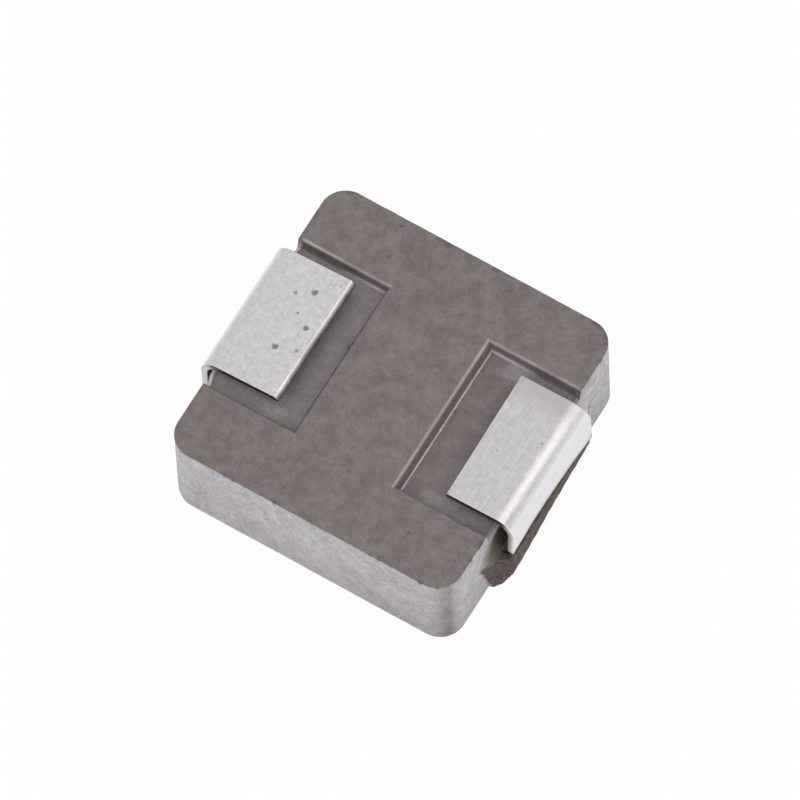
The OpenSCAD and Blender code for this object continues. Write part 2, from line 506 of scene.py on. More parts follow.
@dataclass(frozen=True)
class EnamelledCopper:
    """Drawn copper wire under a clear amber enamel.

    The copper is reddish and bright, the enamel adds a glossy coat, and a soft noise
    varies the copper's tone.
    """

    copper: tuple[str, str] = ("#A65A2C", "#C7773F")

    def build(self) -> bpy.types.Material:
        """Builds the finish."""
        material, tree = new_material("enamelled_copper_wire")
        place = add_node(tree, "ShaderNodeTexCoord", {}, {}).outputs["Object"]
        cloud = add_node(
            tree,
            "ShaderNodeTexNoise",
            {},
            {"Vector": place, "Scale": per_mm(0.3), "Detail": 3.0},
        ).outputs["Fac"]
        colour = add_node(
            tree,
            "ShaderNodeValToRGB",
            {"ramp": [(0.35, self.copper[0]), (0.65, self.copper[1])]},
            {"Fac": cloud},
        ).outputs["Color"]
        bump = add_node(
            tree,
            "ShaderNodeBump",
            {},
            {"Height": cloud, "Strength": 0.2, "Distance": 0.01 * MM},
        ).outputs["Normal"]
        shader = add_node(
            tree,
            "ShaderNodeBsdfPrincipled",
            {},
            {
                "Base Color": colour,
                "Roughness": 0.28,
                "Metallic": 1.0,
                "Normal": bump,
                "Coat Weight": 0.8,
                "Coat Roughness": 0.1,
            },
        )
        add_node(tree, "ShaderNodeOutputMaterial", {}, {"Surface": shader.outputs["BSDF"]})
        return material


# ---- Pressed body ----


@dataclass(frozen=True)
class EdgeMarks:
    """How strongly a line shows along a pocket's inner, far and near wall, from 0 to 1."""

    inner: float
    far: float
    near: float

    def pick(self, inner: np.ndarray, far: np.ndarray) -> np.ndarray:
        """Strength at each place, by whether its wall is the inner, the far or the near one."""
        return np.where(inner, self.inner, np.where(far, self.far, self.near))


@dataclass(frozen=True)
class BodyEnd:
    """What differs between the body's two ends.

    Land is how far the pocket starts from the middle. The chin is the slope at a ledge's
    foot: its tilt, its line's height and how far its foot stands out. The lip is the turn
    from the pocket's floor to the wall: how far it bulges and how strongly its painted
    highlight shows. The floor's wear and painted light sets how light the pocket's floor is.
    The rim, brink, foot and wall marks say how strongly the flash over a pocket's edge, the
    painted shade along it, the flash at the wall's foot and the painted shade of the wall show.
    """

    land: float
    chin_tilt: float
    chin_z: float
    chin_out: float
    lip_out: float
    # Strength of the painted highlight along the lip.
    lip_highlight: float
    # Wear and painted light on the pocket floor, from 0 to 1.
    floor_wear_and_light: float
    rims: EdgeMarks
    # Painted shade along the pocket's hidden top edges.
    brinks: EdgeMarks
    feet: EdgeMarks
    # Painted shade of the pocket walls.
    walls: EdgeMarks


# Levels just under the parting plane, and how much of the ledge each one stands out.
SHELF_DROPS = (0.001, 0.002, 0.003, 0.012, 0.035)
SHELF_SHARES = (0.05, 0.5, 0.9, 0.985, 1.0)

BODY_ENDS = {
    Side.LEFT: BodyEnd(
        land=1.19,
        chin_tilt=0.0,
        chin_z=0.5,
        chin_out=0.055,
        lip_out=0.08,
        lip_highlight=1.0,
        floor_wear_and_light=0.15,
        rims=EdgeMarks(0.0, 0.36, 0.0),
        brinks=EdgeMarks(0.42, 0.0, 0.55),
        feet=EdgeMarks(0.0, 0.72, 0.1),
        walls=EdgeMarks(0.3, 0.45, 0.3),
    ),
    Side.RIGHT: BodyEnd(
        land=1.125,
        chin_tilt=11.0,
        chin_z=0.43,
        chin_out=0.17,
        lip_out=0.0,
        lip_highlight=0.2,
        floor_wear_and_light=0.0,
        rims=EdgeMarks(0.36, 0.28, 0.0),
        brinks=EdgeMarks(0.0, 0.0, 0.5),
        feet=EdgeMarks(0.9, 0.7, 0.0),
        walls=EdgeMarks(0.04, 0.32, 0.3),
    ),
}


@dataclass(frozen=True)
class Speck:
    """A dark grain or chip on the solder face: its place and its radius."""

    x: float
    y: float
    radius: float
    depth: float = 0.01


@dataclass
class PressedBody:
    """Body of pressed powder with its two pockets, two ledges and rubbed side walls."""

    finish: bpy.types.Material
    parting_z: float
    centre: tuple[float, float]
    length: float = 6.55
    corner_r: float = 0.55
    pocket_w: float = 3.64
    pocket_depth: float = 0.25
    pocket_draft: float = 16.0
    lip_r: float = 0.12
    edge_r: float = 0.018
    margin: float = 0.13
    ledge_w: float = 3.02
    flank_run: float = 0.6
    swell: float = 0.06
    fillet: float = 0.1
    push: float = 0.022
    columns: int = 215
    turn_levels: int = 7
    wall_levels: int = 16
    ledge_levels: int = 20
    under_levels: int = 4
    ends: dict[Side, BodyEnd] = field(default_factory=lambda: dict(BODY_ENDS))
    specks: tuple[Speck, ...] = (
        Speck(-1.64, 3.129, 0.035),
        Speck(-1.517, 2.429, 0.03),
        Speck(1.894, -2.495, 0.035),
        Speck(-1.235, 0.414, 0.045),
        Speck(1.27, 0.303, 0.035),
    )

    def __post_init__(self) -> None:
        """Reads the outer sizes from the solid."""
        low, high = node_box("body")
        self.height = float(high[2])
        self.width = float(high[1] - low[1])
        self.reach = float(high[0] - self.centre[0])

    def build(self) -> bpy.types.Object:
        """Builds the closed surface: solder face, walls with ledges, and pick-up face."""
        top, top_marks, loop = self._solder_face()
        rim = top.reshape(-1, 3)[loop]
        out = self._outward(rim)
        wall, wall_marks = self._walls(rim, out)
        floor, floor_marks = self._pickup_face(wall[-1])
        points = np.concatenate(
            [top.reshape(-1, 3), wall.reshape(-1, 3), floor.reshape(-1, 3), [[0.0, 0.0, 0.0]]]
        )
        marks = {
            mark: np.concatenate(
                [
                    top_marks[mark].ravel(),
                    wall_marks[mark].ravel(),
                    floor_marks[mark].ravel(),
                    [0.0],
                ]
            )
            for mark in top_marks
        }
        rows, cols = top.shape[:2]
        lattice = np.arange(rows * cols).reshape(rows, cols)
        skirt = rows * cols + np.arange((len(wall) + len(floor)) * len(loop))
        rings = np.vstack([loop, skirt.reshape(-1, len(loop))])
        pole = np.full(len(loop), len(points) - 1)
        fan = np.stack([rings[-1], pole, np.roll(rings[-1], -1)], axis=-1)
        return make_piece(
            "pressed_body",
            points,
            [ring_quads(lattice.T, closed=False), ring_quads(rings), fan],
            self.finish,
            marks,
        )

    def _solder_face(self) -> tuple[np.ndarray, dict[str, np.ndarray], np.ndarray]:
        """Solder face inside its rounded edge, as one height over a grid.

        Returns:
            The grid of points, its marks, and the numbers of its outer vertices in turn.
        """
        run = self.pocket_depth * math.tan(math.radians(self.pocket_draft))
        half_x, half_y = self.length / 2 - self.margin, self.width / 2 - self.margin
        cx, cy = self.centre
        fold = 0.5 * run
        x_creases = [(cx + s.value * (self.ends[s].land + fold), 0.09, 5.0) for s in Side]
        y_creases = [(cy + s * (self.pocket_w / 2 - fold), 0.09, 5.0) for s in (-1, 1)]
        x_creases += [(speck.x, speck.radius, 1.5) for speck in self.specks]
        y_creases += [(speck.y, speck.radius, 1.5) for speck in self.specks]
        across = gathered_lines(-half_x, half_x, self.columns, x_creases)
        along = gathered_lines(-half_y, half_y, self.columns, y_creases)
        x, y = np.meshgrid(across, along)
        x, y = self._round_corners(x, y, half_x, half_y)
        flat = np.stack([x, y, np.zeros_like(x)], axis=-1)
        drop, marks = self._pockets(flat, run)
        wave = 0.004 * lattice_noise(flat, 1.1, 3) + 0.0015 * lattice_noise(flat, 0.09, 4)
        z = self.height - drop + wave
        for speck in self.specks:
            spot = bell(np.hypot(x - speck.x, y - speck.y), speck.radius)
            z -= speck.depth * spot
            marks["cranny"] = np.maximum(marks["cranny"], 0.8 * spot)
        points = np.stack([x, y, z], axis=-1)
        number = np.arange(x.size).reshape(x.shape)
        loop = np.concatenate(
            [number[0, :-1], number[:-1, -1], number[-1, :0:-1], number[:0:-1, 0]]
        )
        return points, marks, loop

    def _round_corners(
        self, x: np.ndarray, y: np.ndarray, half_x: float, half_y: float
    ) -> tuple[np.ndarray, np.ndarray]:
        """Pulls the square corners of a plan in to round ones.

        Formula: in each corner's square, with a and b as shares of its side, a becomes a
        times the root of one less half of b squared, and the same the other way round.
        """
        radius = self.corner_r - self.margin
        a = np.clip((np.abs(x) - (half_x - radius)) / radius, 0.0, 1.0)
        b = np.clip((np.abs(y) - (half_y - radius)) / radius, 0.0, 1.0)
        round_a = a * np.sqrt(1.0 - 0.5 * b * b)
        round_b = b * np.sqrt(1.0 - 0.5 * a * a)
        return (
            x + np.sign(x) * radius * (round_a - a),
            y + np.sign(y) * radius * (round_b - b),
        )

    def _pockets(
        self, flat: np.ndarray, run: float
    ) -> tuple[np.ndarray, dict[str, np.ndarray]]:
        """Depth of the two pockets, with the flash lines along their walls, painted shade on the
        walls and painted light on the floors.

        Formula: inside a pocket, the way from the nearest of its three top edges drops
        along the drafted wall over the wall's run, and stays at the floor after it. A
        narrow bell of flash stands along the top edge and another along the wall's foot.
        Painted shade lies on the walls and along the hidden top edges, and painted light on
        the floor beside the tab.

        Args:
            flat: Places in plan.
            run: How far a drafted wall runs in from its top edge to its foot.

        Returns:
            The depth at each place, and the marks.
        """
        cx, cy = self.centre
        x, y = flat[..., 0], flat[..., 1]
        drop, burr = np.zeros_like(x), np.zeros_like(x)
        cranny, rubbed = np.zeros_like(x), np.zeros_like(x)
        for side, end in self.ends.items():
            from_inner = side.value * (x - cx) - end.land
            from_end = self.pocket_w / 2 - np.abs(y - cy)
            way = np.minimum(from_inner, from_end)
            inner, far = from_inner < from_end, y > cy
            uneven = lattice_noise(flat, 0.16, 11 + side.value)
            broken = 0.8 + 0.5 * lattice_noise(flat, 0.5, 17 + side.value)
            fades = np.where(inner, 1.0, 1.0 - 0.8 * smooth_step((from_inner - 0.7) / 0.6))
            rim = bell(way + 0.03, 0.03) * end.rims.pick(inner, far) * broken
            foot = bell(way - run - np.where(inner, 0.018, -0.006), 0.013) * fades
            foot *= end.feet.pick(inner, far) * np.clip(0.95 + 0.35 * uneven, 0.0, 1.0)
            # Painted shade on the drafted pocket walls.
            wall = smooth_step((way + 0.002) / 0.014) * smooth_step((0.72 * run - way) / 0.03)
            # Painted shade along the hidden top edges of the pocket walls.
            brink = bell(way - 0.01, 0.03) * end.brinks.pick(inner, far)
            slope = soft_ramp(way, 0.006) - soft_ramp(way - run, 0.006)
            drop += self.pocket_depth / run * slope
            drop -= 0.006 * bell(way + 0.03, 0.03) + 0.012 * foot
            burr = np.maximum(burr, np.maximum(rim, foot))
            dark = wall * end.walls.pick(inner, far)
            cranny = np.maximum(cranny, np.maximum(dark, brink * (1.0 + 0.5 * uneven)))
            # Painted light on the pocket floor along its side walls beside the tab, where the tab's
            # shade falls.
            beside_tab_light = smooth_step((0.45 - from_end) / 0.1) * smooth_step((from_inner - 0.3) / 0.4)
            floor_rub_and_light = end.floor_wear_and_light + 0.24 * beside_tab_light
            rubbed = np.maximum(rubbed, floor_rub_and_light * smooth_step((way - run) / 0.01))
        none = np.zeros_like(x)
        marks = {
            "rubbed": rubbed,
            "smear": none,
            "torn": none,
            "burr": np.clip(burr, 0.0, 1.0),
            "cranny": np.clip(cranny, 0.0, 1.0),
        }
        return drop, marks

    def _outward(self, rim: np.ndarray) -> np.ndarray:
        """Outward direction in plan at each point of the outline.

        Formula: away from the nearest point of the plan's core, which is the plan less
        its corner radius on every side.
        """
        core = np.array([self.length / 2 - self.corner_r, self.width / 2 - self.corner_r])
        away = rim[:, :2] - np.clip(rim[:, :2], -core, core)
        return away / np.linalg.norm(away, axis=1, keepdims=True)

    def _walls(
        self, rim: np.ndarray, out: np.ndarray
    ) -> tuple[np.ndarray, dict[str, np.ndarray]]:
        """Rounded top edge and side walls, as columns under the outline.

        Formula: each column runs out from the solder face, turns down through a quarter
        round, and goes down to the pick-up face. Its distance from the wall's plane is
        the ledge's section, and its turned edges are the root of a circle.

        Args:
            rim: Outline of the solder face inside its rounded edge.
            out: Outward direction at each of its points.

        Returns:
            The grid of points, one level a row, and its marks.
        """
        cx, cy = self.centre
        count = len(rim)
        on_side = np.abs(out[:, 0]) > 0.999
        right = rim[:, 0] > cx
        v = rim[:, 1] - cy
        sunk = np.clip((self.height - rim[:, 2]) / self.pocket_depth, 0.0, 1.0)
        nick = lattice_noise(rim, 0.13, 21)
        chip = smooth_step((lattice_noise(rim, 0.07, 22) - 0.3) / 0.3) * (1.0 - sunk)
        radius = (1.0 - sunk) * self.edge_r * (1.1 + 0.5 * nick + 0.6 * chip)
        radius += sunk * self.lip_r
        turn = np.linspace(0.0, math.pi / 2, self.turn_levels)[:, None]
        level = [rim[:, 2] - radius * (1.0 - np.cos(turn))]
        start = level[0][-1]
        shelf = self.parting_z - 0.01
        down = np.linspace(0.0, 1.0, self.wall_levels + 1)[1:, None]
        level.append(start + (shelf - start) * down)
        level.append(shelf - np.array(SHELF_DROPS)[:, None] + np.zeros(count))
        low_start = shelf - SHELF_DROPS[-1]
        fall = np.linspace(0.0, 1.0, self.ledge_levels + 1)[1:, None]
        level.append(low_start + (self.edge_r - low_start) * fall + np.zeros(count))
        under = np.linspace(0.0, math.pi / 2, self.under_levels + 1)[1:, None]
        level.append(self.edge_r * (1.0 - np.sin(under)) + np.zeros(count))
        z = np.vstack(level)
        rows = len(z)
        inward = np.zeros((rows, count))
        inward[: self.turn_levels] = radius * (1.0 - np.sin(turn))
        inward[-self.under_levels :] = self.edge_r * (1.0 - np.cos(under))
        above = self.turn_levels + self.wall_levels
        below = rows - above - len(SHELF_SHARES)
        share = np.concatenate([np.zeros(above), SHELF_SHARES, np.ones(below)])[:, None]
        ledge = (1.0 - share) * self._swell(z, v, right) + share * self._ledge(z, v, right)
        ledge = np.where(on_side, ledge, 0.0)
        plan = rim[None, :, :2] + out[None] * (self.margin - inward)[..., None]
        spot = np.concatenate([plan, z[..., None]], axis=-1)
        raw, smear = (np.where(on_side, part, 0.0) for part in self._torn(spot, z, v))
        lumps = 0.006 + 0.005 * lattice_noise(spot, 0.35, 31)
        waves = 0.004 * lattice_noise(spot, 0.8, 33) + 0.0015 * lattice_noise(spot, 0.1, 34)
        ledge = ledge + raw * lumps + waves * (z < start)
        plan = plan + out[None] * ledge[..., None]
        points = np.concatenate([plan, z[..., None]], axis=-1)
        worn_and_sheen = smooth_step((start + 0.9 * radius - z) / (0.8 * radius))
        low = 0.25 * smooth_step((1.6 - z) / 1.6) + 0.1 * lattice_noise(spot, 0.6, 35)
        low += 0.15 * smooth_step(rim[:, 0] / 3.0) * (out[:, 1] < -0.5)
        corner = bell(out[:, 0] - 0.75, 0.35) * bell(out[:, 1] + 0.65, 0.4)
        shine = self._by_end(right, "lip_highlight")
        marks = {
            # Die-rubbed walls with a painted reflection of the white floor, darker towards the
            # bottom and at the near right corner.
            "rubbed": worn_and_sheen * np.clip(1.0 - low - 0.48 * corner, 0.0, 1.0),
            # Painted shade behind the lead, over the smeared powder.
            "smear": smear,
            "torn": raw,
            # Painted highlight along the pocket lip's rounded edge.
            "burr": sunk * shine * bell(inward - 0.06, 0.028) * (z > start - 0.01),
            "cranny": 0.9 * chip * bell((z - start) / radius - 0.4, 0.7),
        }
        return points, marks

    def _by_end(self, right: np.ndarray, size: str) -> np.ndarray:
        """One of the ends' sizes at each place, by whether it stands at the right end."""
        at_left, at_right = (getattr(self.ends[side], size) for side in Side)
        return np.where(right, at_right, at_left)

    def _front_limit(self, z: np.ndarray) -> np.ndarray:
        """Half width of a ledge at each height: widest at the lead, less towards both faces."""
        root = self.ledge_w / 2 + self.flank_run
        run = self.pocket_depth * math.tan(math.radians(self.pocket_draft))
        cove = self.height - self.pocket_depth - self.lip_r
        heights = [0.0, self.parting_z, self.parting_z + 0.3, cove]
        return np.interp(z, heights, [self.pocket_w / 2, root, root, self.pocket_w / 2 - run])

    def _ledge(self, z: np.ndarray, v: np.ndarray, right: np.ndarray) -> np.ndarray:
        """How far a ledge stands out of its wall.

        Formula: the outer face's distance, less the depth of a circle along the two
        flanks, less the slope of the chin below its line, and nothing past the limit. The
        right ledge is pushed out a little towards its near end.
        """
        wall = self.length / 2 - np.where(right, 1, -1) * self.centre[0]
        out = self.reach - wall
        round_r = (out * out + self.flank_run**2) / (2 * out)
        past = np.clip(np.abs(v) - self.ledge_w / 2, 0.0, self.flank_run)
        plan = round_r - np.sqrt(round_r**2 - (self.flank_run - past) ** 2)
        line, foot = self._by_end(right, "chin_z"), self._by_end(right, "chin_out")
        tilt = np.radians(self._by_end(right, "chin_tilt"))
        below = np.cos(tilt) * (z - line) - np.sin(tilt) * (v + self.ledge_w / 2)
        chin = (out - foot) / line * np.minimum(below, 0.0)
        inside = smooth_step((self._front_limit(z) - np.abs(v)) / 0.03)
        pushed = np.where(right, self.push * smooth_step((0.1 - v) / 0.8), 0.0) * plan / out
        return np.clip(np.minimum(plan, out + chin) + pushed, 0.0, None) * inside

    def _swell(self, z: np.ndarray, v: np.ndarray, right: np.ndarray) -> np.ndarray:
        """How far the wall swells out above a ledge.

        Formula: the depth of a circle that starts at the lip, a bell at the lip, and a
        bell over the ledge, where powder fills the corner behind the lead.
        """
        cove = self.height - self.pocket_depth - self.lip_r
        tall = cove - self.parting_z
        round_r = (self.swell**2 + tall**2) / (2 * self.swell)
        drop = np.clip(cove - z, 0.0, tall)
        inside = smooth_step((self._front_limit(z) - np.abs(v)) / 0.35)
        low_lip = smooth_step((self.height - 0.5 * self.pocket_depth - z) / 0.1)
        lip = self._by_end(right, "lip_out") * bell(z - cove - 0.06, 0.22) * low_lip
        fill = self.fillet * bell(z - self.parting_z, 0.3)
        return (round_r - np.sqrt(round_r**2 - drop**2) + lip + fill) * inside

    def _torn(
        self, spot: np.ndarray, z: np.ndarray, v: np.ndarray
    ) -> tuple[np.ndarray, np.ndarray]:
        """Where the powder round a lead is torn and raw, and where it is smeared and darkened with
        painted shade.

        Returns:
            Torn and smeared, each from 0 to 1: torn below the lead, smeared above it, with painted
                shade behind the lead.
        """
        ragged = 0.03 * lattice_noise(spot, 0.25, 41)
        inside = self._front_limit(z) - np.abs(v) + ragged
        above = smooth_step((z - self.parting_z - 0.02) / 0.1)
        under_lip = smooth_step((self.height - self.pocket_depth - 0.6 * self.lip_r - z) / 0.15)
        torn = smooth_step((inside + 0.02) / 0.06) * (1.0 - above)
        # Painted shade behind the lead: darkest near it, fading towards the wall.
        smear = smooth_step((inside + 0.15) / 0.55) * under_lip * (z > self.parting_z - 0.02)
        return torn, smear * smooth_step((1.2 - v) / 0.3)

    def _pickup_face(self, ring: np.ndarray) -> tuple[np.ndarray, dict[str, np.ndarray]]:
        """Flat pick-up face, as rings that shrink from the wall's foot to the middle."""
        share = np.array([0.985, 0.95, 0.85, 0.6, 0.3])[:, None, None]
        points = ring[None] * share * np.array([1.0, 1.0, 0.0])
        none = np.zeros(points.shape[:2])
        return points, {mark: none for mark in ("rubbed", "smear", "torn", "burr", "cranny")}


# ---- Terminals ----


@dataclass(frozen=True)
class Pit:
    """A pit through the tin: distance in from the tip, place across, radius and darkness."""

    inward: float
    across: float
    radius: float
    dark: float = 1.0


@dataclass
class Terminal:
    """One strip folded in one piece: tongue, foot, leg, shoulder and tab."""

    side: Side
    finish: bpy.types.Material
    centre: tuple[float, float]
    shoulder_z: float
    pits: tuple[Pit, ...]
    fold: float
    foot: float
    wall: float
    twist: float = 0.0
    skew: float = 0.0
    lean_in: float = 0.0
    bow: float = 0.0
    fan: float = 0.0
    bevel: float = 0.0
    # Strength of the painted highlight on the leg's sheared edges, from 0 to 1.
    edge_shine: float = 0.0
    # Strength of the painted shade on the sheared edges of the leg and foot, from 0 to 1.
    edge_dark: float = 0.0
    # Strength of the smudge with painted shade at the leg's foot, and of the darker far end of the
    # tab.
    dirt_and_shade: float = 0.0
    strip_out: float = 2.9
    thickness: float = 0.15
    foot_r: float = 0.08
    shoulder_r: float = 0.3
    tongue_x: float = 2.5
    edge_r: float = 0.014
    rings: int = 190
    threads: int = 120

    def __post_init__(self) -> None:
        """Reads the strip's outer sizes from the solid."""
        self.node = f"terminal_{self.side.name.lower()}"
        low, high = node_box(self.node)
        self.width = float(high[1] - low[1])
        self.base_z = float(low[2])
        edge = high[0] if self.side is Side.RIGHT else low[0]
        self.outer = abs(float(edge) - self.centre[0])

    def build(self) -> bpy.types.Object:
        """Builds the strip by carrying its rounded section along the folded line."""
        station, line, lean, bends = self._folded_line()
        section = self._section()
        lift = section[:, 1] * (1.0 - self._end_rounding(station)[:, None])
        v = np.broadcast_to(section[:, 0], lift.shape)
        share = v / (self.width / 2)
        tip = station[-1] - station[:, None]
        ahead = np.stack([np.cos(lean), np.sin(lean)], axis=-1)[:, None]
        normal = ahead[..., ::-1] * [1.0, -1.0]
        slant = self.bevel * (0.5 - lift / self.thickness) * smooth_step(1.0 - tip / 0.25)
        flat = line[:, None] + lift[..., None] * normal + slant[..., None] * ahead
        flat += [self.outer - flat[..., 0].max(), self.base_z - flat[..., 1].min()]
        tab = smooth_step((station - bends[2]) / (bends[3] - bends[2]))[:, None]
        low = 1.0 - smooth_step((flat[..., 1] - self.base_z - 0.1) / 0.9)
        dark, dent = self._pits(tip, v, tab, lift)
        spot = np.stack([flat[..., 0], v, flat[..., 1]], axis=-1)
        dent += 0.0025 * lattice_noise(spot, 0.35, 51 + self.side.value)
        lean_in = self.lean_in + self.bow * (1.0 - share**2) - self.fan * share
        sideways = lean_in * low + self.skew * share * tab
        u = flat[..., 0] - sideways - normal[..., 0] * dent
        z = flat[..., 1] - self.twist * share * tab - normal[..., 1] * dent
        cx, cy = self.centre
        points = np.stack([cx + self.side.value * u, cy + v, z], axis=-1)
        number = np.arange(v.size).reshape(v.shape)
        faces = [ring_quads(number), self._cap(number[0]), self._cap(number[-1])[:, ::-1]]
        if self.side is Side.RIGHT:
            faces = [block[:, ::-1] for block in faces]
        marks = self._marks(station[:, None], bends, share, lift, points) | {"pit": dark}
        flat_marks = {
            mark: np.broadcast_to(values, v.shape).ravel() for mark, values in marks.items()
        }
        return make_piece(
            self.node + "_strip", points.reshape(-1, 3), faces, self.finish, flat_marks
        )

    def _marks(
        self,
        station: np.ndarray,
        bends: np.ndarray,
        share: np.ndarray,
        lift: np.ndarray,
        points: np.ndarray,
    ) -> dict[str, np.ndarray]:
        """What handling has left on the strip, and the light and shade painted on it.

        Args:
            station: Distance of each ring along the strip.
            bends: Distances where the tongue, foot, leg, shoulder and tab end.
            share: Place across the strip, from -1 to 1.
            lift: Height of each vertex over the strip's middle.
            points: Vertices in the part's frame.

        Returns:
            The marks for the leg's painted reflection, the dull crease and far end, the smudge with
            painted shade at the foot, the painted shade on the edges, and the burr with painted
            highlight.
        """
        crease = 0.5 * (bends[2] + bends[3])
        tip = bends[-1] - station
        past = (np.abs(share) - 1.0) * self.width / 2 + self.edge_r
        edge = smooth_step(past / (0.6 * self.edge_r))
        cut = bell(tip, 0.5 * self.edge_r) * (1.0 - edge)
        tongue = smooth_step((bends[1] - station) / 0.05)
        on_leg = (1.0 - tongue) * smooth_step((crease + 0.05 - station) / 0.1)
        on_tab = smooth_step((station - crease) / 0.15)
        patch = np.clip(0.6 + 0.8 * lattice_noise(points, 0.28, 61), 0.0, 1.0)
        rise = points[..., 2] - self.base_z
        # Painted shade at the leg's foot, strongest at the bottom.
        foot_shade = smooth_step(1.3 - 3.2 * rise + 0.5 * lattice_noise(points, 0.25, 62))
        return {
            # Painted reflection of the bright floor: the leg is painted brighter up to the crease.
            "worked": on_leg,
            "dull": np.maximum(
                0.3 * bell(station - crease + 0.03, 0.025),
                self.dirt_and_shade * on_tab * smooth_step((share - 0.5) / 0.4),
            ),
            # A brown smudge at the leg's foot, partly grime and partly painted shade.
            "grime": self.dirt_and_shade * foot_shade * (1.0 - tongue) * (lift > 0.0),
            # Painted shade on the sheared edges and on the tip's underside.
            "bare": np.maximum(
                edge * np.maximum(np.maximum(on_tab, tongue), self.edge_dark),
                0.6 * cut * (lift < 0.0),
            ),
            # Painted highlight on the leg's lit edge, and a burr with a painted highlight on the
            # tip's top edge.
            "burr": np.maximum(self.edge_shine * edge * on_leg, cut * patch * (lift > 0.0)),
        }

    def _folded_line(
        self,
    ) -> tuple[np.ndarray, np.ndarray, np.ndarray, np.ndarray]:
        """Middle line of the folded strip.

        Formula: the strip's lean is nothing along the tongue, rises by a right angle over
        the foot's arc and by the fold over the shoulder's, and the line is the running
        sum of the lean's cosine and sine.

        Returns:
            Distance along the strip, places out and up, the lean, and the distances where
            the tongue, foot, leg, shoulder and tab end.
        """
        mid = self.thickness / 2
        foot_arc = (self.foot_r + mid) * math.pi / 2
        shoulder_arc = (self.shoulder_r + mid) * math.radians(self.fold)
        leg = (
            self.shoulder_z - self.base_z - self.foot_r - self.shoulder_r - 2 * self.thickness
        )
        tab = self.strip_out - self.foot - foot_arc - leg - shoulder_arc
        tongue = self.wall - self.tongue_x + self.foot
        bends = np.cumsum([tongue, foot_arc, leg, shoulder_arc, tab])
        total = bends[-1]
        creases = [(bends[0] + foot_arc / 2, 0.15, 3.0), (bends[3] - shoulder_arc / 2, 0.3, 1.5)]
        creases += [(0.0, 0.03, 4.0), (total, 0.05, 6.0)]
        creases += [(total - pit.inward, pit.radius * 1.5, 1.0) for pit in self.pits]
        station = gathered_lines(0.0, total, self.rings, creases)
        fine = np.linspace(0.0, total, 8001)
        turned = [0.0, 90.0, 90.0, 90.0 + self.fold]
        lean = np.radians(np.interp(fine, bends[:4], turned))
        step = fine[1] - fine[0]
        slope = np.stack([np.cos(lean), np.sin(lean)], axis=-1)
        moves = 0.5 * (slope[1:] + slope[:-1])
        path = np.concatenate([[[0.0, 0.0]], np.cumsum(moves, 0) * step])
        line = np.stack([np.interp(station, fine, path[:, k]) for k in (0, 1)], axis=-1)
        return station, line, np.interp(station, fine, lean), bends

    def _section(self) -> np.ndarray:
        """Closed section of the strip: places across and over its middle.

        Formula: the upper half runs from one edge to the other, through a quarter round,
        the outer face and a second quarter round. The lower half is its mirror image.
        """
        half_w, half_t, r = self.width / 2, self.thickness / 2, self.edge_r
        turn = np.linspace(0.0, math.pi / 2, 5)
        near = np.stack([-half_w + r * (1 - np.cos(turn)), half_t - r + r * np.sin(turn)], -1)
        face_v = np.linspace(-half_w + r, half_w - r, self.threads)[1:-1]
        face = np.stack([face_v, np.full_like(face_v, half_t)], -1)
        far = near[::-1] * [-1.0, 1.0]
        upper = np.vstack([[[-half_w, 0.01]], near, face, far, [[half_w, 0.01]]])
        return np.vstack([upper, upper[::-1] * [1.0, -1.0]])

    def _end_rounding(self, station: np.ndarray) -> np.ndarray:
        """How much the strip thins at its two ends: the sag of a circle of the edge's radius."""
        end = np.minimum(station, station[-1] - station)
        past = np.clip(1.0 - end / self.edge_r, 0.0, 1.0)
        return (1.0 - np.sqrt(1.0 - past**2)) * self.edge_r / (self.thickness / 2)

    def _pits(
        self, tip: np.ndarray, v: np.ndarray, tab: np.ndarray, lift: np.ndarray
    ) -> tuple[np.ndarray, np.ndarray]:
        """Darkness and depth of the pits in the outer face of the tab."""
        dark, deep = np.zeros_like(lift), np.zeros_like(lift)
        outer = (lift > 0.0) & (tab > 0.5)
        for pit in self.pits:
            away = np.hypot(tip - pit.inward, v - pit.across)
            place = np.stack(np.broadcast_arrays(tip, v, 0.0), axis=-1)
            away = away * (1.0 + 0.45 * lattice_noise(place, 1.1 * pit.radius, 63))
            spot = smooth_step((1.7 * pit.radius - away) / (0.9 * pit.radius)) * outer
            dark = np.maximum(dark, pit.dark * spot)
            deep = np.maximum(deep, 0.25 * pit.radius * pit.dark * spot)
        return dark, deep

    def _cap(self, ring: np.ndarray) -> np.ndarray:
        """Faces that close an end, between the section's upper and lower halves."""
        half = len(ring) // 2
        upper, lower = ring[:half], ring[half:][::-1]
        return np.stack([upper[:-1], upper[1:], lower[1:], lower[:-1]], axis=-1)


# ---- Coil ----


